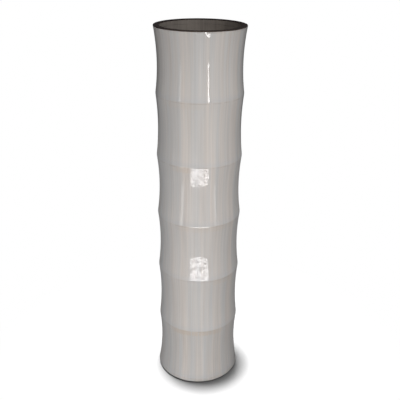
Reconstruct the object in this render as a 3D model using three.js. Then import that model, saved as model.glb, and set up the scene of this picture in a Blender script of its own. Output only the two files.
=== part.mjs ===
// Lacquered bamboo floor vase in the form of a bamboo culm.
// Upright staves are glued edge to edge round a dark lining cup. A base disc is let into
// their feet, a ring caps their tops, and felt pads under the disc carry the vase.
// Millimetres, +Z up, origin on the floor at the middle of the foot.
import * as THREE from 'three';

// Driving dimensions: the culm
const vaseHeight = 760; // floor to the top of the rim
const internodeCount = 6;
const footInternode = 133; // height of the lowest internode; the others share the rest equally
const nodeDiameter = 171; // outside, over the crest of a node
const mouthFlare = 2; // how far the mouth stands out beyond the nodes, all round
const footFlare = 4; // how far the foot stands out beyond the nodes, all round
const waistDepth = 3.8; // hollow of an internode, below its nodes
const waistShares = [0.87, 1, 1.13, 1.18, 1, 1]; // of that depth, in each internode from the foot up
const crestHeight = 3; // blunt top of a node, measured up the stave
const footRound = 3; // rounding of the lower outside edge

// Driving dimensions: the staves
const staveCount = 36;
const waistThickness = 2.7; // thinnest part of a stave, in the deepest hollow
const glueLine = 0.3; // between two neighbouring staves
const rebateDepth = 2.4; // step inside both ends of a stave

// Driving dimensions: the pieces that the staves hold
const clearance = 0.3; // round every piece that seats on another
const liningThickness = 1.2;
const rimCapHeight = 1.2;
const rimEdgeRound = 0.5; // upper edges of the rim, inside and out
const rimSkirtDepth = 8; // how far the ring reaches down inside the staves
const baseThickness = 10;
const baseChamfer = 1; // lower edge of the base disc
const padCount = 4;
const padDiameter = 20;
const padHeight = 2.5;
const padInset = 6; // from the edge of the base disc to the edge of a pad

// Fineness of the round surfaces
const facetsPerStave = 2;
const facetsPerHollow = 6;
const facetsPerEdgeRound = 3;
const facetsPerPad = 24;

// Radii, from the outside in
const nodeRadius = nodeDiameter / 2;
const mouthRadius = nodeRadius + mouthFlare;
const footRadius = nodeRadius + footFlare;
const deepestWaist = waistDepth * Math.max(...waistShares);
const staveInnerRadius = nodeRadius - deepestWaist - waistThickness;
const rebateRadius = staveInnerRadius + rebateDepth;
const seatRadius = rebateRadius - clearance;
const liningRadius = staveInnerRadius - clearance;
const boreRadius = liningRadius - liningThickness;

// Heights, from the floor up
const footLevel = padHeight;
const baseTop = footLevel + baseThickness;
const lowerShoulder = baseTop + clearance;
const rimCapUnderside = vaseHeight - rimCapHeight;
const staveTop = rimCapUnderside - clearance;
const upperShoulder = staveTop - rimSkirtDepth;
const skirtBottom = upperShoulder + clearance;
const liningTop = upperShoulder;
const internodeHeight = (staveTop - footLevel - footInternode) / (internodeCount - 1);

// The glued strips of bamboo differ a little in tone under the lacquer
const paleLacquerTones = [0xbab3ab, 0xb3aea9, 0xbcb2a6, 0xb0aca8, 0xb8afa8];

function paleLacquer(tone) {
  return new THREE.MeshStandardMaterial({ color: tone, roughness: 0.22, metalness: 0 });
}

function darkLacquer() {
  return new THREE.MeshStandardMaterial({ color: 0x2b211d, roughness: 0.3, metalness: 0 });
}

function felt() {
  return new THREE.MeshStandardMaterial({ color: 0x3b3532, roughness: 0.95, metalness: 0 });
}

function namedMesh(name, geometry, material) {
  const mesh = new THREE.Mesh(geometry, material);
  mesh.name = name;
  return mesh;
}

// Outline of a stave seen along its edge: x is the distance from the vase's axis, y the height.
function staveOutline() {
  const outline = new THREE.Shape();
  outline.moveTo(rebateRadius, footLevel);
  outline.lineTo(footRadius - footRound, footLevel);
  outline.quadraticCurveTo(footRadius, footLevel, footRadius, footLevel + footRound);
  let lowerRadius = footRadius;
  let lowerLevel = footLevel;
  for (let internode = 1; internode <= internodeCount; internode += 1) {
    const isTop = internode === internodeCount;
    const upperRadius = isTop ? mouthRadius : nodeRadius;
    const upperLevel = footLevel + footInternode + (internode - 1) * internodeHeight;
    const hollowTop = isTop ? staveTop : upperLevel - crestHeight / 2;
    const hollowMiddle = (lowerLevel + upperLevel) / 2;
    // This control point draws the middle of the curve in to the waist.
    const waistRadius = nodeRadius - waistDepth * waistShares[(internode - 1) % waistShares.length];
    const pull = 2 * waistRadius - (lowerRadius + upperRadius) / 2;
    outline.quadraticCurveTo(pull, hollowMiddle, upperRadius, hollowTop);
    if (!isTop) outline.lineTo(nodeRadius, upperLevel + crestHeight / 2);
    lowerRadius = upperRadius;
    lowerLevel = upperLevel;
  }
  outline.lineTo(rebateRadius, staveTop);
  outline.lineTo(rebateRadius, upperShoulder);
  outline.lineTo(staveInnerRadius, upperShoulder);
  outline.lineTo(staveInnerRadius, lowerShoulder);
  outline.lineTo(rebateRadius, lowerShoulder);
  outline.closePath();
  return outline;
}

// A stave is its outline given width, then bent round the axis so that both edges are bevelled
// towards it, with half a glue line taken off each.
function staveGeometry() {
  const halfAngle = Math.PI / staveCount;
  const geometry = new THREE.ExtrudeGeometry(staveOutline(), {
    depth: 2,
    steps: facetsPerStave,
    curveSegments: facetsPerHollow,
    bevelEnabled: false,
  });
  geometry.translate(0, 0, -1);
  geometry.rotateX(Math.PI / 2);
  const position = geometry.getAttribute('position');
  for (let i = 0; i < position.count; i += 1) {
    const radius = position.getX(i);
    const side = position.getY(i); // from -1 at one edge to 1 at the other
    const angle = side * halfAngle;
    position.setX(i, radius * Math.cos(angle));
    position.setY(i, radius * Math.sin(angle) - (side * glueLine) / 2);
  }
  geometry.computeVertexNormals();
  return geometry;
}

function staves() {
  const ring = new THREE.Group();
  const geometry = staveGeometry();
  for (let i = 0; i < staveCount; i += 1) {
    const name = `stave_${String(i + 1).padStart(2, '0')}`;
    const tone = paleLacquerTones[i % paleLacquerTones.length];
    const stave = namedMesh(name, geometry, paleLacquer(tone));
    stave.rotation.z = (i * 2 * Math.PI) / staveCount;
    ring.add(stave);
  }
  return ring;
}

// Turns an outline of radius and height about the upright axis.
function turned(outline) {
  const points = outline.getPoints(facetsPerEdgeRound);
  const geometry = new THREE.LatheGeometry(points, staveCount * facetsPerStave);
  geometry.rotateX(Math.PI / 2);
  return geometry;
}

function rimRing() {
  const outline = new THREE.Path();
  outline.moveTo(boreRadius, skirtBottom);
  outline.lineTo(seatRadius, skirtBottom);
  outline.lineTo(seatRadius, rimCapUnderside);
  outline.lineTo(mouthRadius, rimCapUnderside);
  outline.lineTo(mouthRadius, vaseHeight - rimEdgeRound);
  outline.quadraticCurveTo(mouthRadius, vaseHeight, mouthRadius - rimEdgeRound, vaseHeight);
  outline.lineTo(boreRadius + rimEdgeRound, vaseHeight);
  outline.quadraticCurveTo(boreRadius, vaseHeight, boreRadius, vaseHeight - rimEdgeRound);
  outline.lineTo(boreRadius, skirtBottom);
  return namedMesh('rim_ring', turned(outline), darkLacquer());
}

function innerLining() {
  const floorTop = lowerShoulder + liningThickness;
  const outline = new THREE.Path();
  outline.moveTo(0, lowerShoulder);
  outline.lineTo(liningRadius, lowerShoulder);
  outline.lineTo(liningRadius, liningTop);
  outline.lineTo(boreRadius, liningTop);
  outline.lineTo(boreRadius, floorTop);
  outline.lineTo(0, floorTop);
  return namedMesh('inner_lining', turned(outline), darkLacquer());
}

function baseDisc() {
  const outline = new THREE.Path();
  outline.moveTo(0, footLevel);
  outline.lineTo(seatRadius - baseChamfer, footLevel);
  outline.lineTo(seatRadius, footLevel + baseChamfer);
  outline.lineTo(seatRadius, baseTop);
  outline.lineTo(0, baseTop);
  return namedMesh('base_disc', turned(outline), darkLacquer());
}

function feltPads() {
  const pads = new THREE.Group();
  const padRadius = padDiameter / 2;
  const circleRadius = seatRadius - padInset - padRadius;
  const thickness = padHeight - clearance;
  const geometry = new THREE.CylinderGeometry(padRadius, padRadius, thickness, facetsPerPad);
  geometry.rotateX(Math.PI / 2);
  for (let i = 0; i < padCount; i += 1) {
    const angle = ((i + 0.5) * 2 * Math.PI) / padCount;
    const pad = namedMesh(`felt_pad_${i + 1}`, geometry, felt());
    pad.position.set(circleRadius * Math.cos(angle), circleRadius * Math.sin(angle), thickness / 2);
    pads.add(pad);
  }
  return pads;
}

const floorVase = new THREE.Group();
floorVase.add(staves(), rimRing(), innerLining(), baseDisc(), feltPads());

export default floorVase;
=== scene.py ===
"""Looks of a lacquered bamboo floor vase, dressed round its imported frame.

Metres, +Z up, with the origin on the floor at the middle of the foot, as in the frame.
"""

import logging
import math
import random
from dataclasses import dataclass
from enum import Enum
from typing import Iterable, Union

import bmesh
import bpy
from mathutils import Color, Matrix, Vector


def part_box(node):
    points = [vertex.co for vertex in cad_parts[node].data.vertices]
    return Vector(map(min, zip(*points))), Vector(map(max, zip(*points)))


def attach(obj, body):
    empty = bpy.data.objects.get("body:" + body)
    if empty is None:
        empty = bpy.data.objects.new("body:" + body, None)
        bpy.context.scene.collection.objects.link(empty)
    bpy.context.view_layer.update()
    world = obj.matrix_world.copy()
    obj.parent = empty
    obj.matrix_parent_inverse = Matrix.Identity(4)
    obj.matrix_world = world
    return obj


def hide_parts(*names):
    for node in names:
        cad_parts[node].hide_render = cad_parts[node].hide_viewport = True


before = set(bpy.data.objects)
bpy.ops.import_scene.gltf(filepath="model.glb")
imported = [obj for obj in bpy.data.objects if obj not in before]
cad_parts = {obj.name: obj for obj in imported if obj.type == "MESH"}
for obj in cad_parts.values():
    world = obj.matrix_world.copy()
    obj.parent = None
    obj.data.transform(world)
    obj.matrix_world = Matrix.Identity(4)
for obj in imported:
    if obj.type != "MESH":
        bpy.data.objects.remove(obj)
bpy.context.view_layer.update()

BODY = "root"
SEED = 20261
MM = 0.001
TURN_STEPS = 144  # facets round a turned piece
WELD = 1e-7  # corners closer than this are one
TOUCH = 1e-5  # how closely an edge has to lie at a corner of an outline
ORIGIN = (0.0, 0.0, 0.0)
UPRIGHT = (0.0, 0.0, 1.0)
LEVEL = (1.0, 1.0, 0.0)
LACQUER_IOR = 1.5
COOL = (0.92, 0.965, 1.0)
WARM = (1.0, 0.985, 0.96)
LOG = logging.getLogger("floor_vase")

Colour = tuple[float, float, float, float]
Span = tuple[float, float]  # two values of a ramp, the first gives 0 and the second 1
Corner = tuple[float, float]  # radius and height
Triple = tuple[float, float, float]
Operand = Union["Value", float]
Input = Union["Value", float, tuple]


def srgb(red: int, green: int, blue: int) -> Colour:
    """Turn a colour written from 0 to 255 into the linear values that shaders use."""
    shown = Color((red / 255, green / 255, blue / 255))
    return (*shown.from_srgb_to_scene_linear(), 1.0)


def grey(level: float) -> Colour:
    """Give a plain grey of a linear level."""
    return (level, level, level, 1.0)


class Slot(Enum):
    """Material slots of the record."""

    PALE_LACQUER = "pale_lacquer"
    DARK_LACQUER = "dark_lacquer"
    FELT = "felt"

    @property
    def dress(self) -> str:
        """The word that begins the name of every piece in this slot."""
        return "pressed" if self is Slot.FELT else "lacquered"


class BrushRun(Enum):
    """The way a lacquer brush went over a piece."""

    UPRIGHT = "upright"
    ROUND = "round"


class Value:
    """A shader socket that takes part in Python arithmetic, one Math node per operator."""

    def __init__(self, tree: bpy.types.NodeTree, socket: bpy.types.NodeSocket | None) -> None:
        """Keep the tree and the socket."""
        self.tree = tree
        self.socket = socket

    def sibling(self, name: str) -> "Value":
        """Give another output of the same node."""
        return Value(self.tree, self.socket.node.outputs[name])

    def worked(self, operation: str, *operands: Operand) -> "Value":
        """Add one Math node.

        Args:
            operation: The node's operation.
            operands: Its inputs in order, sockets or numbers.

        Returns:
            The node's result.
        """
        node = self.tree.nodes.new("ShaderNodeMath")
        node.operation = operation
        for socket, operand in zip(node.inputs, operands):
            if isinstance(operand, Value):
                self.tree.links.new(operand.socket, socket)
            else:
                socket.default_value = operand
        return Value(self.tree, node.outputs[0])

    def __add__(self, other: Operand) -> "Value":
        """Add a value."""
        return self.worked("ADD", self, other)

    def __sub__(self, other: Operand) -> "Value":
        """Take a value away."""
        return self.worked("SUBTRACT", self, other)

    def __rsub__(self, other: float) -> "Value":
        """Take this value away from a number."""
        return self.worked("SUBTRACT", other, self)

    def __mul__(self, other: Operand) -> "Value":
        """Multiply by a value."""
        return self.worked("MULTIPLY", self, other)

    def __truediv__(self, other: Operand) -> "Value":
        """Divide by a value."""
        return self.worked("DIVIDE", self, other)

    __radd__ = __add__
    __rmul__ = __mul__

    def rounded(self) -> "Value":
        """Round to the nearest whole number."""
        return self.worked("ROUND", self)

    def matches(self, number: int) -> "Value":
        """Give 1 where this whole number is the given one, else 0."""
        return self.worked("COMPARE", self, number, 0.5)

    def wrapped(self, length: float) -> "Value":
        """Wrap into the range from 0 to a length."""
        return self.worked("FLOORED_MODULO", self, length)

    def size(self) -> "Value":
        """Drop the sign."""
        return self.worked("ABSOLUTE", self)

    def angle_from(self, along: "Value") -> "Value":
        """Give the angle of the point whose other coordinate is along."""
        return self.worked("ARCTAN2", self, along)

    def larger(self, other: Operand) -> "Value":
        """Give the larger of two values."""
        return self.worked("MAXIMUM", self, other)

    def smaller(self, other: Operand) -> "Value":
        """Give the smaller of two values."""
        return self.worked("MINIMUM", self, other)

    def ramped(self, start: float, end: float) -> "Value":
        """Rise smoothly from 0 at start to 1 at end.

        Args:
            start: The value that gives 0.
            end: The value that gives 1; below start for a falling ramp.

        Returns:
            The smooth ramp, kept between 0 and 1.
        """
        node = self.tree.nodes.new("ShaderNodeMapRange")
        node.interpolation_type = "SMOOTHSTEP"
        node.inputs["From Min"].default_value = min(start, end)
        node.inputs["From Max"].default_value = max(start, end)
        node.inputs["To Min"].default_value = float(start > end)
        node.inputs["To Max"].default_value = float(start < end)
        self.tree.links.new(self.socket, node.inputs["Value"])
        return Value(self.tree, node.outputs["Result"])


class Shader:
    """A node tree under construction, of a material or of the world."""

    # Sockets of the Mix node in its colour mode, where their names repeat
    MIX_SHARE, MIX_FIRST, MIX_SECOND = 0, 6, 7
    MIX_RESULT = 2

    def __init__(self, tree: bpy.types.NodeTree) -> None:
        """Clear the tree and keep it."""
        self.tree = tree
        tree.nodes.clear()

    def node(
        self,
        kind: str,
        settings: dict[str, object] | None = None,
        inputs: dict[Union[str, int], Input] | None = None,
        output: Union[str, int] = 0,
    ) -> Value:
        """Add a node of any type.

        Args:
            kind: The node's type.
            settings: Its properties, set first.
            inputs: Values or links by socket name or number.
            output: The output to give back.

        Returns:
            The chosen output, without a socket where the node has none.
        """
        node = self.tree.nodes.new(kind)
        for name, setting in (settings or {}).items():
            setattr(node, name, setting)
        for name, given in (inputs or {}).items():
            if isinstance(given, Value):
                self.tree.links.new(given.socket, node.inputs[name])
            else:
                node.inputs[name].default_value = given
        return Value(self.tree, node.outputs[output] if node.outputs else None)

    def vector(self, operation: str, first: Input, second: Input) -> Value:
        """Work on a vector with a second one, or with a number for SCALE."""
        inputs = {0: first, "Scale" if operation == "SCALE" else 1: second}
        return self.node("ShaderNodeVectorMath", {"operation": operation}, inputs)

    def length(self, vector: Value) -> Value:
        """Give the length of a vector."""
        return self.node("ShaderNodeVectorMath", {"operation": "LENGTH"}, {0: vector}, "Value")

    def place(self) -> Value:
        """Give the point of the object."""
        return self.node("ShaderNodeTexCoord", output="Object")

    def mixed(self, share: Input, first: Input, second: Input) -> Value:
        """Mix two colours; the share tells how much of the second one shows."""
        sockets = {self.MIX_SHARE: share, self.MIX_FIRST: first, self.MIX_SECOND: second}
        return self.node("ShaderNodeMix", {"data_type": "RGBA"}, sockets, self.MIX_RESULT)

    def noise(self, place: Value, scale: float, detail: float, twist: float = 0.0) -> Value:
        """Make noise about 0.5, of this many features per unit and with finer layers of detail."""
        sockets = {"Vector": place, "Scale": scale, "Detail": detail, "Distortion": twist}
        return self.node("ShaderNodeTexNoise", None, sockets)

    def bumped(self, height: Value, depth: float) -> Value:
        """Turn a height into a normal, where a height of 1 stands for the depth in metres."""
        sockets = {"Strength": 1.0, "Distance": depth, "Height": height}
        return self.node("ShaderNodeBump", None, sockets)

    def surface(self, shader: Value) -> None:
        """Close a material with this shader."""
        self.node("ShaderNodeOutputMaterial", None, {"Surface": shader})

    def principled(self, sockets: dict[Union[str, int], Input]) -> None:
        """Close a material with a Principled shader that has these sockets."""
        self.surface(self.node("ShaderNodeBsdfPrincipled", None, sockets))


def new_material(name: str) -> tuple[bpy.types.Material, Shader]:
    """Make an empty node material.

    Args:
        name: The material's name.

    Returns:
        The material and the shader that builds it.
    """
    material = bpy.data.materials.new(name)
    material.use_nodes = True
    return material, Shader(material.node_tree)


@dataclass(frozen=True)
class CulmForm:
    """The form of the whole vase: a culm of staves with a hollow between its nodes."""

    foot_level: float
    foot_radius: float
    stave_top: float
    mouth_radius: float
    cup_radius: float
    cup_bottom: float
    cup_top: float
    seat_radius: float
    staves: int = 36
    mouth_flare: float = 2 * MM
    internodes: int = 6
    foot_internode: float = 133 * MM
    waist_depth: float = 3.8 * MM
    waist_shares: tuple[float, ...] = (0.87, 1.0, 1.13, 1.18, 1.0, 1.0)
    clearance: float = 0.3 * MM
    cup_wall: float = 1.2 * MM

    @classmethod
    def from_frame(cls) -> "CulmForm":
        """Measure the boxes of the CAD nodes.

        Returns:
            The form.
        """
        stave_low, stave_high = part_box("stave_01")
        cup_low, cup_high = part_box("inner_lining")
        return cls(
            foot_level=stave_low.z,
            foot_radius=stave_high.x,
            stave_top=stave_high.z,
            mouth_radius=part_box("rim_ring")[1].x,
            cup_radius=cup_high.x,
            cup_bottom=cup_low.z,
            cup_top=cup_high.z,
            seat_radius=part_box("base_disc")[1].x,
        )

    @property
    def node_radius(self) -> float:
        """Radius over the crest of a node."""
        return self.mouth_radius - self.mouth_flare

    @property
    def inner_radius(self) -> float:
        """Radius inside the staves."""
        return self.cup_radius + self.clearance

    @property
    def rebate_radius(self) -> float:
        """Radius inside the rebates at both ends of the staves."""
        return self.seat_radius + self.clearance

    @property
    def bore_radius(self) -> float:
        """Radius of the hollow for the stems."""
        return self.cup_radius - self.cup_wall

    @property
    def first_node(self) -> float:
        """Height of the lowest node."""
        return self.foot_level + self.foot_internode

    @property
    def node_spacing(self) -> float:
        """Distance between two nodes."""
        return (self.stave_top - self.first_node) / (self.internodes - 1)

    def nodes(self) -> list[Corner]:
        """Give the crests of the nodes from the foot up, without foot and mouth."""
        levels = [self.first_node + i * self.node_spacing for i in range(self.internodes - 1)]
        return [(self.node_radius, level) for level in levels]


@dataclass(frozen=True)
class Streak:
    """A layer of upright streaks; the shift keeps two layers from being alike."""

    across: float
    along: float
    detail: int
    shift: float
    strength: float = 1.0


@dataclass(frozen=True)
class RoundGrain:
    """Coordinates that run round the vase and up it, so that streaks stay upright."""

    shader: Shader
    radius: float

    def flat(self) -> Value:
        """Give the way from the axis to the point, in plan."""
        return self.shader.vector("MULTIPLY", self.shader.place(), LEVEL)

    def distance(self) -> Value:
        """Give the distance from the axis of the vase."""
        return self.shader.length(self.flat())

    def height(self) -> Value:
        """Give the height over the floor."""
        return self.shader.node("ShaderNodeSeparateXYZ", None, {0: self.shader.place()}, "Z")

    def angle(self) -> Value:
        """Give the angle round the vase, from -pi to pi, with 0 towards +X."""
        side = self.height().sibling("Y")
        return side.angle_from(side.sibling("X"))

    def near(self, side: float, spread: Span) -> Value:
        """Fade round the vase, away from one side.

        Args:
            side: The angle of that side, in degrees.
            spread: How far from it the fade ends and starts, in degrees.

        Returns:
            The fade, 1 at the side.
        """
        opposite = math.radians(side) - math.pi
        away = ((self.angle() - opposite).wrapped(math.tau) - math.pi).size()
        return away.ramped(*(math.radians(angle) for angle in spread))

    def streaks(self, streak: Streak) -> Value:
        """Make noise in upright streaks.

        Args:
            streak: The layer's sizes.

        Returns:
            The noise, about 0.5 in the middle.
        """
        shader = self.shader
        outward = shader.node("ShaderNodeVectorMath", {"operation": "NORMALIZE"}, {0: self.flat()})
        turn = shader.vector("SCALE", outward, self.radius / streak.across)
        rise = shader.vector("MULTIPLY", shader.place(), (0.0, 0.0, 1.0 / streak.along))
        moved = shader.vector("ADD", shader.vector("ADD", turn, rise), (streak.shift,) * 3)
        return shader.noise(moved, 1.0, streak.detail)

    def swing(self, streak: Streak) -> Value:
        """Give the streaks as a change round 0, times their strength."""
        return streak.strength * (self.streaks(streak) - 0.5)


@dataclass(frozen=True)
class NodeStain:
    """A tan stain that hangs below part of a node, which fades beyond its core."""

    node: int
    angle: float
    spread: float
    share: float
    core: float = 0.4

    def mask(self, grain: RoundGrain, number: Value) -> Value:
        """Tell how much of the stain shows, given the number of the nearest node."""
        fade = grain.near(self.angle, (self.spread, self.core * self.spread))
        return fade * number.matches(self.node) * self.share


@dataclass(frozen=True)
class RubbedSpot:
    """A small forked spot below the rim, where the lacquer was rubbed flat.

    A bar runs up its middle and an arm leans away from the bar.
    """

    angle: float = -79.2
    level: float = 749.1 * MM
    blend: float = 1.0 * MM
    slope: float = 0.12
    bar_shift: float = 1.6 * MM
    bar_sides: Span = (4.0 * MM, 1.8 * MM)
    bar_top: Span = (757.6 * MM, 756.6 * MM)
    arm_shift: float = 3.6 * MM
    arm_sides: Span = (2.2 * MM, 1.0 * MM)
    arm_level: float = 751.6 * MM
    arm_lean: float = 0.5

    def depth(self, grain: RoundGrain) -> Value:
        """Tell how much lacquer is gone.

        Args:
            grain: The upright coordinates.

        Returns:
            The depth, in metres.
        """
        height = grain.height()
        side = (grain.angle() - math.radians(self.angle)) * grain.radius
        lean = (height - self.arm_level).larger(0.0) * self.arm_lean
        arm = (side + lean + self.arm_shift).size().ramped(*self.arm_sides)
        bar = (side + self.bar_shift).size().ramped(*self.bar_sides)
        spot = arm.larger(bar * height.ramped(*self.bar_top))
        bulge = side * side / (2 * grain.radius)
        rise = (height - self.level).larger(0.0)
        return spot * (rise * self.slope - bulge * rise.ramped(0.0, self.blend))


@dataclass(frozen=True)
class PaleLacquer:
    """Clear glossy lacquer over strips of pale grey-beige bamboo."""

    form: CulmForm
    warm: Colour = srgb(200, 192, 186)
    cool: Colour = srgb(190, 188, 187)
    tan: Colour = srgb(187, 175, 166)
    hue: Streak = Streak(9 * MM, 320 * MM, 2, 21.0, 1.9)
    fine_tone: Streak = Streak(3.2 * MM, 240 * MM, 3, 11.0, 0.31)
    broad_tone: Streak = Streak(16 * MM, 400 * MM, 1, 19.0, 0.16)
    stave_hue: float = 0.4
    stave_tone: float = 0.02
    tan_streaks: Streak = Streak(3.4 * MM, 160 * MM, 2, 27.0, 0.4)
    tan_gaps: Span = (0.55, 0.75)
    node_tan: Colour = srgb(198, 181, 163)
    stains: tuple[NodeStain, ...] = (
        NodeStain(node=0, angle=-94.0, spread=50.0, share=0.5),
        NodeStain(node=3, angle=-114.0, spread=18.0, share=0.36),
        NodeStain(node=1, angle=-52.0, spread=24.0, share=0.2),
        NodeStain(node=2, angle=-78.0, spread=60.0, share=0.2),
        NodeStain(node=4, angle=-112.0, spread=40.0, share=0.15),
        NodeStain(node=0, angle=60.0, spread=50.0, share=0.5),
        NodeStain(node=2, angle=110.0, spread=35.0, share=0.35),
        NodeStain(node=3, angle=15.0, spread=30.0, share=0.4),
        NodeStain(node=1, angle=170.0, spread=40.0, share=0.4),
    )
    stain_edge: Streak = Streak(4 * MM, 60 * MM, 2, 67.0, 5 * MM)
    stain_gaps: Span = (0.25, 0.5)
    stain_bottom: Span = (-15 * MM, -9 * MM)
    stain_top: Span = (0.3 * MM, -1.2 * MM)
    node_brown: Colour = srgb(146, 126, 112)
    line_streaks: Streak = Streak(13 * MM, 90 * MM, 2, 43.0, 0.22)
    line_gaps: Span = (0.36, 0.66)
    line_bottom: Span = (-3.4 * MM, -2.0 * MM)
    line_top: Span = (0.2 * MM, -1.2 * MM)
    # Colour of the painted reflection that lies over each node, where the lacquer faces up
    node_painted_reflection: Colour = srgb(181, 182, 187)
    painted_reflection_bottom: Span = (0.0, 1.0 * MM)
    painted_reflection_top: Span = (14 * MM, 2.0 * MM)
    painted_reflection_share: float = 0.25
    end_grain: Colour = srgb(150, 122, 92)
    end_dots: Colour = srgb(92, 66, 46)
    end_reach: Span = (0.06 * MM, 0.02 * MM)
    dots_per_metre: float = 1200.0
    dot_edge: Span = (0.45, 0.25)
    dot_share: float = 0.8
    roughness: float = 0.02
    smears: Streak = Streak(6 * MM, 80 * MM, 2, 31.0, 0.02)
    peel_width: float = 4 * MM
    peel_depth: float = 0.014 * MM
    wave_width: float = 24 * MM
    wave_depth: float = 0.06 * MM
    ridges: Streak = Streak(5 * MM, 10 * MM, 0, 53.0, 0.06 * MM)
    rubbed: RubbedSpot = RubbedSpot()

    def material(self) -> bpy.types.Material:
        """Build the finish.

        Returns:
            The material of every stave.
        """
        material, shader = new_material("pale_lacquered_bamboo")
        grain = RoundGrain(shader, self.form.node_radius)
        colour = self._strips(grain)
        colour = self._nodes(grain, colour)
        colour = self._feet(grain, colour)
        shader.principled(
            {
                "Base Color": colour,
                "Roughness": self.roughness + self.smears.strength * grain.streaks(self.smears),
                "Normal": shader.bumped(self._relief(grain), MM),
                "IOR": LACQUER_IOR,
            }
        )
        return material

    def _relief(self, grain: RoundGrain) -> Value:
        """Make the lacquer a little uneven and rub off its spot.

        Args:
            grain: The upright coordinates.

        Returns:
            The height over the surface, in millimetres.
        """
        shader = grain.shader
        peel = shader.noise(shader.place(), 1 / self.peel_width, 0.0)
        wave = shader.noise(shader.place(), 1 / self.wave_width, 0.0)
        relief = peel * (self.peel_depth / MM) + wave * (self.wave_depth / MM)
        relief = relief + grain.streaks(self.ridges) * (self.ridges.strength / MM)
        return relief - self.rubbed.depth(grain) / MM

    def _strips(self, grain: RoundGrain) -> Value:
        """Colour the strips of bamboo.

        Args:
            grain: The upright coordinates.

        Returns:
            The streaked colour.
        """
        shader = grain.shader
        turn = grain.angle() * (self.form.staves / math.tau)
        number = turn.rounded().wrapped(self.form.staves)
        chance = shader.node("ShaderNodeTexWhiteNoise", {"noise_dimensions": "1D"}, {"W": number})
        tint = 0.5 + grain.swing(self.hue) + self.stave_hue * (chance - 0.5)
        colour = shader.mixed(tint.ramped(0.0, 1.0), self.cool, self.warm)
        tone = 1.0 + grain.swing(self.fine_tone) + grain.swing(self.broad_tone)
        tone = tone + self.stave_tone * (chance - 0.5)
        colour = shader.vector("SCALE", colour, tone)
        tan = grain.streaks(self.tan_streaks).ramped(*self.tan_gaps)
        return shader.mixed(tan * self.tan_streaks.strength, colour, self.tan)

    def _nodes(self, grain: RoundGrain, colour: Value) -> Value:
        """Lay the brown line and the tan stains under the nodes, and above them a cool painted
        reflection where the lacquer faces up.

        Args:
            grain: The upright coordinates.
            colour: The colour of the strips.

        Returns:
            The colour with its nodes.
        """
        shader = grain.shader
        share = (grain.height() - self.form.first_node) / self.form.node_spacing
        number = share.rounded()
        over = (share - number) * self.form.node_spacing
        gaps = grain.streaks(self.stain_edge).ramped(*self.stain_gaps)
        band = (over + grain.swing(self.stain_edge)).ramped(*self.stain_bottom)
        band = band * over.ramped(*self.stain_top) * gaps
        for stain in self.stains:
            colour = shader.mixed(band * stain.mask(grain, number), colour, self.node_tan)
        line = over.ramped(*self.line_bottom) * over.ramped(*self.line_top)
        line = line * grain.streaks(self.line_streaks).ramped(*self.line_gaps)
        colour = shader.mixed(line * self.line_streaks.strength, colour, self.node_brown)
        # Painted reflection: a cool band over each node, where the lacquer faces up and catches
        # light
        painted_reflection = over.ramped(*self.painted_reflection_bottom) * over.ramped(*self.painted_reflection_top)
        return shader.mixed(painted_reflection * self.painted_reflection_share, colour, self.node_painted_reflection)

    def _feet(self, grain: RoundGrain, colour: Value) -> Value:
        """Show the fibre bundles in the cut lower ends.

        Args:
            grain: The upright coordinates.
            colour: The colour of the lacquered faces.

        Returns:
            The colour with the cut ends.
        """
        shader = grain.shader
        cut = grain.height().ramped(*(self.form.foot_level + reach for reach in self.end_reach))
        sockets = {"Vector": shader.place(), "Scale": self.dots_per_metre}
        dots = shader.node("ShaderNodeTexVoronoi", None, sockets).ramped(*self.dot_edge)
        wood = shader.mixed(dots * self.dot_share, self.end_grain, self.end_dots)
        return shader.mixed(cut, colour, wood)


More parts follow.
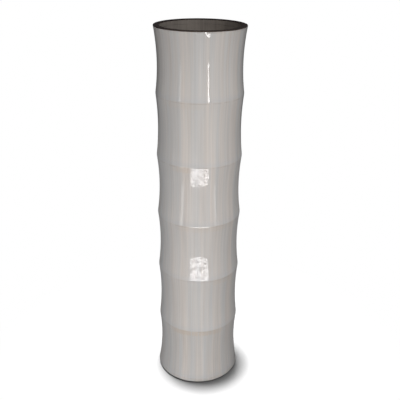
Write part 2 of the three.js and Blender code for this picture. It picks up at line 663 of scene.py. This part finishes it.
@dataclass(frozen=True)
class DarkLacquer:
    """Brown-black lacquer with the faint marks of its brush; if asked, its mouth turns lighter at
    the outer edge towards the front, as wear together with painted light from the front lamps.
    """

    name: str
    form: CulmForm
    run: BrushRun
    shade: Colour
    glow: Colour
    roughness: float
    has_wear_and_light: bool = False
    # Colour of the lighter lip: worn lacquer, and painted light on the side that faces the lamps
    worn: Colour = srgb(84, 73, 65)
    worn_reach: float = 2.2 * MM
    worn_edge: float = 1.0 * MM
    worn_least: float = 0.4
    worn_side: float = -75.0
    worn_spread: Span = (85.0, 35.0)
    upright_marks: Streak = Streak(4 * MM, 200 * MM, 3, 7.0)
    rings_per_metre: float = 700.0
    bends_per_metre: float = 12.0
    ring_detail: float = 3.0
    mark_contrast: float = 1.2
    mark_depth: float = 0.02 * MM
    clouds_per_metre: float = 45.0
    cloud_detail: float = 3.0
    cloud_contrast: float = 0.8
    cloud_gloss: float = 0.12

    def material(self) -> bpy.types.Material:
        """Build the finish.

        Returns:
            The material of one dark piece.
        """
        material, shader = new_material(self.name)
        grain = RoundGrain(shader, self.form.node_radius)
        marks = self._marks(grain)
        cloud = shader.noise(shader.place(), self.clouds_per_metre, self.cloud_detail) - 0.5
        share = 0.5 + self.mark_contrast * (marks - 0.5) + self.cloud_contrast * cloud
        colour = shader.mixed(share.ramped(0.0, 1.0), self.shade, self.glow)
        # Wear and painted light: the outer edge of the lip turns lighter on the side that faces the
        # front lamps
        if self.has_wear_and_light:
            mouth = self.form.mouth_radius
            edge = grain.distance() + self.worn_edge * cloud
            wear_and_light = edge.ramped(mouth - self.worn_reach, mouth)
            wear_and_light = wear_and_light * (self.worn_least + (1 - self.worn_least) * marks)
            wear_and_light = wear_and_light * grain.near(self.worn_side, self.worn_spread)
            colour = shader.mixed(wear_and_light, colour, self.worn)
        shader.principled(
            {
                "Base Color": colour,
                "Roughness": self.roughness + self.cloud_gloss * cloud,
                "Normal": shader.bumped(marks, self.mark_depth),
                "IOR": LACQUER_IOR,
            }
        )
        return material

    def _marks(self, grain: RoundGrain) -> Value:
        """Make the brush marks.

        Args:
            grain: The upright coordinates.

        Returns:
            The marks, about 0.5 in the middle.
        """
        if self.run is BrushRun.UPRIGHT:
            return grain.streaks(self.upright_marks)
        shader = grain.shader
        across = grain.distance() * self.rings_per_metre
        along = grain.height() * self.rings_per_metre
        rings = shader.node("ShaderNodeCombineXYZ", None, {"X": across, "Y": along})
        bends = shader.vector("SCALE", grain.flat(), self.bends_per_metre)
        return shader.noise(shader.vector("ADD", rings, bends), 1.0, self.ring_detail)


@dataclass(frozen=True)
class PressedFelt:
    """Dark grey-brown felt, matted from short fibres."""

    shade: Colour = srgb(54, 48, 45)
    fibre: Colour = srgb(84, 76, 70)
    fibre_width: float = 0.35 * MM
    fibre_detail: float = 4.0
    fibre_twist: float = 2.5
    fibre_weight: float = 1.4
    clumps_per_metre: float = 260.0
    clump_detail: float = 2.0
    clump_weight: float = 0.6
    contrast: Span = (0.6, 1.4)
    depth: float = 0.25 * MM
    roughness: float = 0.95
    sheen: float = 0.3
    sheen_roughness: float = 0.6

    def material(self) -> bpy.types.Material:
        """Build the finish.

        Returns:
            The material of the pads.
        """
        material, shader = new_material("pressed_felt")
        place = shader.place()
        fibres = shader.noise(place, 1 / self.fibre_width, self.fibre_detail, self.fibre_twist)
        clumps = shader.noise(place, self.clumps_per_metre, self.clump_detail)
        share = (fibres * self.fibre_weight + clumps * self.clump_weight).ramped(*self.contrast)
        shader.principled(
            {
                "Base Color": shader.mixed(share, self.shade, self.fibre),
                "Roughness": self.roughness,
                "Normal": shader.bumped(fibres, self.depth),
                "Sheen Weight": self.sheen,
                "Sheen Roughness": self.sheen_roughness,
            }
        )
        return material


def mesh_data(
    mesh: bmesh.types.BMesh, name: str, materials: Iterable[bpy.types.Material]
) -> bpy.types.Mesh:
    """Turn a bmesh into the mesh of an object.

    Args:
        mesh: The shape; freed here.
        name: The mesh's name.
        materials: Its materials, by the material number of its faces.

    Returns:
        The mesh.
    """
    data = bpy.data.meshes.new(name)
    mesh.to_mesh(data)
    mesh.free()
    for material in materials:
        data.materials.append(material)
    return data


def placed(name: str, data: bpy.types.ID) -> bpy.types.Object:
    """Put a new object into the scene.

    Args:
        name: The object's name.
        data: Its mesh, lamp or camera.

    Returns:
        The object.
    """
    obj = bpy.data.objects.new(name, data)
    bpy.context.scene.collection.objects.link(obj)
    return obj


def finished_piece(
    mesh: bmesh.types.BMesh,
    node: str,
    slot: Slot,
    materials: Iterable[bpy.types.Material],
    sharp: float = 40.0,
) -> bpy.types.Object:
    """Turn a bmesh into a piece that rides on the vase and stands for its CAD node.

    Args:
        mesh: The shape, at its place in the frame; freed here.
        node: The CAD node that it replaces.
        slot: The record's material slot.
        materials: Its finishes, by the material number of its faces.
        sharp: Edges that turn by more than this angle stay sharp, in degrees.

    Returns:
        The piece.
    """
    bmesh.ops.remove_doubles(mesh, verts=mesh.verts, dist=WELD)
    bmesh.ops.recalc_face_normals(mesh, faces=mesh.faces)
    for face in mesh.faces:
        face.smooth = True
    name = f"{slot.dress}_{node}"
    data = mesh_data(mesh, name, materials)
    data.set_sharp_from_angle(angle=math.radians(sharp))
    piece = placed(name, data)
    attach(piece, BODY)
    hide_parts(node)
    LOG.info("%s stands for %s: %d faces", name, node, len(data.polygons))
    return piece


def drawn(mesh: bmesh.types.BMesh, outline: list[Corner], closed: bool) -> list[bmesh.types.BMEdge]:
    """Draw an outline of radius and height in the plane of X and Z.

    Args:
        mesh: The bmesh that takes it.
        outline: Its corners.
        closed: Whether the last corner joins the first.

    Returns:
        The edges in order.
    """
    corners = [mesh.verts.new((radius, 0.0, height)) for radius, height in outline]
    pairs = list(zip(corners, corners[1:]))
    if closed:
        pairs.append((corners[-1], corners[0]))
    return [mesh.edges.new(pair) for pair in pairs]


def swept(mesh: bmesh.types.BMesh, start: float, sweep: float, steps: int) -> None:
    """Sweep what is drawn in a bmesh round the upright axis.

    Args:
        mesh: The bmesh, drawn in the plane of X and Z.
        start: The angle to start from, in radians.
        sweep: The angle to go through, in radians; a full turn closes on itself.
        steps: Facets along the sweep.
    """
    turn = Matrix.Rotation(start, 3, "Z")
    bmesh.ops.rotate(mesh, verts=mesh.verts, cent=ORIGIN, matrix=turn)
    bmesh.ops.spin(
        mesh,
        geom=[*mesh.verts, *mesh.edges, *mesh.faces],
        cent=ORIGIN,
        axis=UPRIGHT,
        angle=sweep,
        steps=steps,
        use_merge=sweep == math.tau,
    )
    bmesh.ops.remove_doubles(mesh, verts=mesh.verts, dist=WELD)
    bmesh.ops.recalc_face_normals(mesh, faces=mesh.faces)


def turned(outline: list[Corner], closed: bool) -> bmesh.types.BMesh:
    """Turn an outline of radius and height once round the upright axis.

    Args:
        outline: Its corners.
        closed: Whether the outline is a ring's, which doesn't reach the axis.

    Returns:
        The turned shape, with its poles merged.
    """
    mesh = bmesh.new()
    drawn(mesh, outline, closed)
    swept(mesh, 0.0, math.tau, TURN_STEPS)
    return mesh


def round_edges(
    mesh: bmesh.types.BMesh, edges: Iterable[bmesh.types.BMEdge], offset: float, segments: int
) -> None:
    """Round some edges.

    Args:
        mesh: The bmesh that holds them.
        edges: The edges.
        offset: How far the rounding reaches from each edge.
        segments: Facets across the rounding.
    """
    bmesh.ops.bevel(
        mesh,
        geom=list(edges),
        offset=offset,
        offset_type="OFFSET",
        affect="EDGES",
        segments=segments,
        profile=0.5,
        material=-1,
        clamp_overlap=True,
    )


def round_corners(
    mesh: bmesh.types.BMesh, corners: Iterable[Corner], offset: float, segments: int
) -> None:
    """Round the edges that run round the axis at some corners of the outline.

    Args:
        mesh: The swept bmesh.
        corners: The corners of its outline.
        offset: How far the rounding reaches from each edge.
        segments: Facets across the rounding.
    """
    edges = [
        edge
        for edge in mesh.edges
        for radius, height in corners
        if all(
            abs(end.co.xy.length - radius) < TOUCH and abs(end.co.z - height) < TOUCH
            for end in edge.verts
        )
    ]
    round_edges(mesh, edges, offset, segments)


@dataclass
class StaveWall:
    """The upright staves that make the wall of the vase."""

    form: CulmForm
    finish: PaleLacquer
    rows: int = 23
    steps: int = 8
    crest_round: float = 2.6 * MM
    crest_segments: int = 6
    foot_round: float = 3.0 * MM
    foot_segments: int = 5
    seam: float = 0.02 * MM
    seam_chamfer: float = 0.12 * MM
    seam_angle: float = 60.0
    seam_rise: float = 0.1 * MM
    seam_inset: float = 0.5 * MM
    sharp: float = 30.0

    def build(self) -> list[bpy.types.Object]:
        """Build and dress all staves.

        Returns:
            The staves in order round the vase.
        """
        materials = [self.finish.material()]
        staves = []
        for index in range(self.form.staves):
            node = f"stave_{index + 1:02d}"
            mesh = self._stave(index)
            stave = finished_piece(mesh, node, Slot.PALE_LACQUER, materials, self.sharp)
            staves.append(stave)
        return staves

    def _stave(self, index: int) -> bmesh.types.BMesh:
        """Shape one stave at its place in the ring.

        Args:
            index: Its number, counted from +X.

        Returns:
            The stave.
        """
        form = self.form
        share = math.tau / form.staves
        width = share - self.seam / form.node_radius
        mesh = bmesh.new()
        self._outline(mesh)
        swept(mesh, index * share - width / 2, width, self.steps)
        round_corners(mesh, form.nodes(), self.crest_round, self.crest_segments)
        foot = (form.foot_radius, form.foot_level)
        round_corners(mesh, [foot], self.foot_round, self.foot_segments)
        seams = [edge for edge in mesh.edges if self._is_seam(edge)]
        round_edges(mesh, seams, self.seam_chamfer, 1)
        return mesh

    def _outline(self, mesh: bmesh.types.BMesh) -> None:
        """Draw the section of a stave and hollow out its internodes.

        Args:
            mesh: The bmesh that takes the section as one face.
        """
        form = self.form
        foot, mouth = (form.foot_radius, form.foot_level), (form.mouth_radius, form.stave_top)
        outside = [foot, *form.nodes(), mouth]
        inside = [
            (form.rebate_radius, form.stave_top),
            (form.rebate_radius, form.cup_top),
            (form.inner_radius, form.cup_top),
            (form.inner_radius, form.cup_bottom),
            (form.rebate_radius, form.cup_bottom),
            (form.rebate_radius, form.foot_level),
        ]
        edges = drawn(mesh, outside + inside, closed=True)
        bmesh.ops.contextual_create(mesh, geom=edges)
        bmesh.ops.subdivide_edges(mesh, edges=edges[: form.internodes], cuts=self.rows)
        for lower, upper, share_of_depth in zip(outside, outside[1:], form.waist_shares):
            waist = form.node_radius - form.waist_depth * share_of_depth
            depth = (lower[0] + upper[0]) / 2 - waist
            for vert in mesh.verts:
                share = (vert.co.z - lower[1]) / (upper[1] - lower[1])
                if vert.co.x > form.rebate_radius + MM and 0 < share < 1:
                    # A parabola that is deepest half way up
                    vert.co.x -= depth * 4 * share * (1 - share)

    def _is_seam(self, edge: bmesh.types.BMEdge) -> bool:
        """Tell whether an edge runs up the outside where two staves meet.

        Args:
            edge: An edge of a stave.

        Returns:
            True for the two long edges that show.
        """
        if len(edge.link_faces) != 2 or edge.calc_face_angle() < math.radians(self.seam_angle):
            return False
        first, second = (end.co for end in edge.verts)
        inner = min(first.xy.length, second.xy.length)
        is_outside = inner > self.form.rebate_radius + self.seam_inset
        return is_outside and abs(first.z - second.z) > self.seam_rise


@dataclass
class RimRing:
    """The dark ring that caps the staves, lacquered like the cup below its lip."""

    form: CulmForm
    finish: DarkLacquer
    lining: bpy.types.Material
    node: str = "rim_ring"
    lip_turn: float = 1.35 * MM
    edge_round: float = 0.55 * MM
    edge_segments: int = 4

    def build(self) -> None:
        """Build and dress the ring."""
        low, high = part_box(self.node)
        outer, bore, seat = high.x, self.form.bore_radius, self.form.seat_radius
        cap_underside = self.form.stave_top + self.form.clearance
        lip = high.z - self.lip_turn
        outline = [
            (bore, low.z),
            (seat, low.z),
            (seat, cap_underside),
            (outer, cap_underside),
            (outer, high.z),
            (bore, high.z),
            (bore, lip),
        ]
        mesh = turned(outline, closed=True)
        upper = [(outer, high.z), (bore, high.z)]
        round_corners(mesh, upper, self.edge_round, self.edge_segments)
        for face in mesh.faces:
            middle = face.calc_center_median()
            is_lining = middle.xy.length < bore + TOUCH and middle.z < lip
            face.material_index = int(is_lining)
        materials = [self.finish.material(), self.lining]
        finished_piece(mesh, self.node, Slot.DARK_LACQUER, materials)


@dataclass
class LiningCup:
    """The dark cup inside the staves."""

    form: CulmForm
    material: bpy.types.Material
    node: str = "inner_lining"
    fillet: float = 3.0 * MM
    fillet_segments: int = 4

    def build(self) -> None:
        """Build and dress the cup."""
        low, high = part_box(self.node)
        bore, floor = self.form.bore_radius, low.z + self.form.cup_wall
        outside = [(0.0, low.z), (high.x, low.z), (high.x, high.z)]
        outline = [*outside, (bore, high.z), (bore, floor), (0.0, floor)]
        mesh = turned(outline, closed=False)
        round_corners(mesh, [(bore, floor)], self.fillet, self.fillet_segments)
        finished_piece(mesh, self.node, Slot.DARK_LACQUER, [self.material])


@dataclass
class BaseDisc:
    """The disc let into the feet of the staves."""

    finish: DarkLacquer
    node: str = "base_disc"
    edge_round: float = 1.0 * MM
    edge_segments: int = 3

    def build(self) -> None:
        """Build and dress the disc."""
        low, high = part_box(self.node)
        outline = [(0.0, low.z), (high.x, low.z), (high.x, high.z), (0.0, high.z)]
        mesh = turned(outline, closed=False)
        round_corners(mesh, [(high.x, low.z)], self.edge_round, self.edge_segments)
        materials = [self.finish.material()]
        finished_piece(mesh, self.node, Slot.DARK_LACQUER, materials)


@dataclass
class FeltPads:
    """The pressed felt pads that the vase stands on."""

    finish: PressedFelt
    count: int = 4
    segments: int = 64
    edge_round: float = 0.5 * MM
    edge_segments: int = 3
    fuzz: float = 0.12 * MM
    cap_slope: float = 0.99
    cap_inset: float = 0.35
    sharp: float = 60.0

    def build(self) -> None:
        """Build and dress the pads in order round the foot."""
        materials = [self.finish.material()]
        chance = random.Random(SEED)
        for number in range(1, self.count + 1):
            node = f"felt_pad_{number}"
            mesh = self._pad(node, chance)
            finished_piece(mesh, node, Slot.FELT, materials, self.sharp)

    def _pad(self, node: str, chance: random.Random) -> bmesh.types.BMesh:
        """Shape one pad in the box of its CAD node.

        Args:
            node: The CAD node.
            chance: Source of the unevenness of its cut edge.

        Returns:
            The pad.
        """
        low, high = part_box(node)
        middle, radius, thick = (low + high) / 2, (high.x - low.x) / 2, high.z - low.z
        mesh = bmesh.new()
        bmesh.ops.create_cone(
            mesh,
            cap_ends=True,
            segments=self.segments,
            radius1=radius,
            radius2=radius,
            depth=thick,
            matrix=Matrix.Translation(middle),
        )
        rims = [e for e in mesh.edges if abs(e.verts[0].co.z - e.verts[1].co.z) < thick / 2]
        round_edges(mesh, rims, self.edge_round, self.edge_segments)
        caps = [face for face in mesh.faces if abs(face.normal.z) > self.cap_slope]
        sides = [vert for vert in mesh.verts if any(f not in caps for f in vert.link_faces)]
        for vert in sides:
            away = Vector((vert.co.x - middle.x, vert.co.y - middle.y, 0.0))
            vert.co -= away.normalized() * self.fuzz * chance.random()
        bmesh.ops.inset_individual(mesh, faces=caps, thickness=radius * self.cap_inset)
        return mesh


@dataclass(frozen=True)
class Lamp:
    """One soft lamp of the studio."""

    name: str
    place: Triple
    turn: Triple
    size: tuple[float, float]
    watts: float
    in_gloss: bool = True
    colour: Triple = (1.0, 1.0, 1.0)

    def build(self) -> bpy.types.Object:
        """Place the lamp.

        Returns:
            The lamp.
        """
        light = bpy.data.lights.new(self.name, "AREA")
        light.shape = "RECTANGLE"
        light.size, light.size_y = self.size
        light.energy = self.watts
        light.color = self.colour
        lamp = placed(self.name, light)
        lamp.location = self.place
        lamp.rotation_euler = tuple(math.radians(angle) for angle in self.turn)
        lamp.visible_camera = False
        lamp.visible_glossy = self.in_gloss
        LOG.info("lamp %s", self.name)
        return lamp


@dataclass(frozen=True)
class GlowCard:
    """A bent card of dappled light that stands on the floor and faces the vase.

    Its near and far edges are given in section, its two ends in degrees from the front.
    """

    name: str
    near: Corner
    far: Corner
    ends: tuple[float, float]
    strength: float
    aim: float = 0.4
    colour: Colour = srgb(255, 251, 252)
    dapple_width: float = 0.15
    dapple_depth: float = 0.007
    dapple_detail: float = 2.0
    dapple_gaps: Span = (0.42, 0.5)
    near_fade: float = 0.2
    far_fade: float = 0.125
    raggedness: float = 0.5
    ragged_edge: Span = (0.08, 0.2)
    steps: int = 32

    def build(self) -> bpy.types.Object:
        """Bend the card round the vase and light it.

        Returns:
            The card.
        """
        mesh = bmesh.new()
        drawn(mesh, [self.near, self.far], closed=False)
        start, end = (math.radians(angle - 90) for angle in self.ends)
        swept(mesh, start, end - start, self.steps)
        for face in mesh.faces:
            face.normal_update()
            to_vase = Vector((0.0, 0.0, self.aim)) - face.calc_center_median()
            if face.normal.dot(to_vase) < 0:
                face.normal_flip()
        material, shader = new_material(self.name)
        back = shader.node("ShaderNodeNewGeometry", output="Backfacing")
        light = self._dappled(shader) * (1.0 - back)
        colour = shader.vector("SCALE", self.colour[:3], light)
        shader.surface(shader.node("ShaderNodeEmission", None, {"Color": colour}))
        card = placed(self.name, mesh_data(mesh, self.name, [material]))
        card.visible_camera = False
        card.visible_diffuse = False
        LOG.info("card %s", self.name)
        return card

    def _dappled(self, shader: Shader) -> Value:
        """Break up the light of the card as foliage breaks up daylight.

        Args:
            shader: The shader that is built.

        Returns:
            The strength over the card.
        """
        near, far = self.near[0], self.far[0]
        grain = RoundGrain(shader, near)
        turn, radius = grain.angle() + math.pi / 2, grain.distance()
        spots = {"X": turn * (near / self.dapple_width), "Y": radius / self.dapple_depth}
        place = shader.node("ShaderNodeCombineXYZ", None, spots)
        noise = shader.noise(place, 1.0, self.dapple_detail)
        start, end = (math.radians(angle) for angle in self.ends)
        along = (turn - start) / (end - start)
        across = (radius - near) / (far - near)
        margin = 4.0 * along * (1.0 - along) * (across / self.near_fade).smaller(1.0)
        margin = margin * ((1.0 - across) / self.far_fade).smaller(1.0)
        ragged = (margin + self.raggedness * (noise - 0.5)).ramped(*self.ragged_edge)
        return self.strength * ragged * noise.ramped(*self.dapple_gaps)


def limit(light: bpy.types.Object, name: str, lit: list[bpy.types.Object]) -> None:
    """Let a lamp or card light some objects only.

    Args:
        light: The lamp or card.
        name: The name of the collection that lists the objects.
        lit: The objects.
    """
    receivers = bpy.data.collections.new(name)
    for obj in lit:
        receivers.objects.link(obj)
    light.light_linking.receiver_collection = receivers


@dataclass
class Studio:
    """The pale floor, the soft lamps and the camera."""

    floor_size: float = 3.2
    floor_shade: float = 0.165
    floor_bounce: float = 0.034
    shadow_reach: Span = (0.2, 0.5)
    ambient: float = 0.09
    ambient_colour: Colour = srgb(247, 251, 255)
    ambient_gloss: float = 0.05
    lens: float = 53.516
    sensor: float = 36.0
    camera_place: Triple = (0.0, -1.1304, 0.9112)
    camera_yaw: float = 0.112
    camera_pitch: float = 24.081
    camera_roll: float = 0.511
    lamps: tuple[Lamp, ...] = (
        Lamp("narrow_front", (0.281, -0.734, 0.58), (90, 0, 22), (0.038, 0.12), 0.173),
        Lamp("left_edge", (-0.56, -0.55, 0.17), (90, 0, -45), (0.12, 0.16), 0.14),
        Lamp("left_edge_high", (-0.585, -0.51, 0.575), (90, 0, -49), (0.06, 0.09), 0.042),
        Lamp("right_edge", (0.545, -0.555, 0.16), (90, 0, 45), (0.05, 0.14), 0.075),
        Lamp("high_front", (0.15, -1.5, 2.4), (32, 0, 5), (1.2, 1.2), 28.4, False, WARM),
        Lamp("middle_front", (0.05, -0.65, 0.54), (90, 0, 4), (0.3, 0.2), 0.8, False, WARM),
        Lamp("low_front", (0.02, -0.735, 0.04), (109.5, 0, 1.5), (0.5, 0.12), 2.2, False),
        Lamp("high_right", (1.3, -0.9, 2.2), (44.7, 0, 55.3), (0.8, 0.8), 13.5, False, COOL),
        Lamp("low_left", (-0.9, -0.7, 0.12), (96.5, 0, -52.1), (0.5, 0.2), 2.55, False, COOL),
        Lamp("level_back", (0.0, 2.2, 0.8), (-79.7, 0, 0), (1.0, 1.0), 30.0, False),
        Lamp("narrow_back", (0.04, 0.73, 0.58), (-90, 0, 0), (0.055, 0.16), 0.25),
    )
    floor_lamp: Lamp = Lamp("overhead", (-0.19, 0.27, 12.0), (0, 0, 0), (0.6, 0.6), 8600.0, False)
    card: GlowCard = GlowCard("low_front_card", (0.67, 0.003), (0.81, 0.072), (-24.6, 27.6), 10.01)
    front_reach: float = -65 * MM

    def build(self, wall: list[bpy.types.Object]) -> None:
        """Set up everything round the vase.

        Args:
            wall: The staves; the card shows in those near the front.
        """
        bpy.context.scene.view_settings.view_transform = "Standard"
        self._world()
        limit(self.floor_lamp.build(), "lit_floor", [self._floor()])
        for lamp in self.lamps:
            lamp.build()
        front = [stave for stave in wall if stave.bound_box[0][1] < self.front_reach]
        limit(self.card.build(), "front_staves", front)
        self._camera()

    def _world(self) -> None:
        """Make an even world that is white to the camera and dim in reflections."""
        world = bpy.data.worlds.new("studio")
        world.use_nodes = True
        bpy.context.scene.world = world
        shader = Shader(world.node_tree)
        seen = shader.node("ShaderNodeLightPath", output="Is Camera Ray")
        gloss = seen.sibling("Is Glossy Ray")
        strength = self.ambient + (1.0 - self.ambient) * seen
        strength = strength - (self.ambient - self.ambient_gloss) * gloss
        colour = shader.mixed(seen, self.ambient_colour, grey(1.0))
        sockets = {"Color": colour, "Strength": strength}
        light = shader.node("ShaderNodeBackground", None, sockets)
        shader.node("ShaderNodeOutputWorld", None, {"Surface": light})

    def _floor(self) -> bpy.types.Object:
        """Lay the floor, white to the camera but for the shadow of the vase.

        Returns:
            The floor.
        """
        mesh = bmesh.new()
        bmesh.ops.create_grid(mesh, x_segments=1, y_segments=1, size=self.floor_size / 2)
        material, shader = new_material("pale_floor")
        bounce = shader.node("ShaderNodeBsdfDiffuse", None, {"Color": grey(self.floor_bounce)})
        lit = shader.node("ShaderNodeBsdfDiffuse", None, {"Color": grey(self.floor_shade)})
        plain = shader.node("ShaderNodeEmission")
        fade = shader.length(shader.place()).ramped(*self.shadow_reach)
        white = shader.node("ShaderNodeMixShader", None, {0: fade, 1: lit, 2: plain})
        seen = shader.node("ShaderNodeLightPath", output="Is Camera Ray")
        shader.surface(shader.node("ShaderNodeMixShader", None, {0: seen, 1: bounce, 2: white}))
        floor = placed("floor", mesh_data(mesh, "floor", [material]))
        return floor

    def _camera(self) -> None:
        """Set the camera at the viewing angle."""
        camera = bpy.data.cameras.new("camera")
        camera.sensor_width = self.sensor
        camera.lens = self.lens
        holder = placed("camera", camera)
        turn = (
            Matrix.Rotation(-math.radians(self.camera_yaw), 4, "Z")
            @ Matrix.Rotation(math.radians(90 - self.camera_pitch), 4, "X")
            @ Matrix.Rotation(math.radians(self.camera_roll), 4, "Z")
        )
        holder.matrix_world = Matrix.Translation(self.camera_place) @ turn
        bpy.context.scene.camera = holder


def main() -> None:
    """Build the vase from the foot up and set the stage."""
    logging.basicConfig(level=logging.INFO, format="%(name)s: %(message)s")
    form = CulmForm.from_frame()
    disc_black = DarkLacquer(
        "base_lacquer", form, BrushRun.ROUND, srgb(30, 22, 19), srgb(48, 34, 28), 0.35
    )
    cup_brown = DarkLacquer(
        "lining_lacquer", form, BrushRun.UPRIGHT, srgb(111, 104, 99), srgb(133, 125, 118), 0.45
    ).material()
    rim_black = DarkLacquer(
        "rim_lacquer", form, BrushRun.ROUND, srgb(26, 17, 15), srgb(50, 30, 26), 0.25, has_wear_and_light=True
    )
    FeltPads(PressedFelt()).build()
    BaseDisc(disc_black).build()
    LiningCup(form, cup_brown).build()
    wall = StaveWall(form, PaleLacquer(form)).build()
    RimRing(form, rim_black, cup_brown).build()
    Studio().build(wall)


if __name__ == "__main__":
    main()
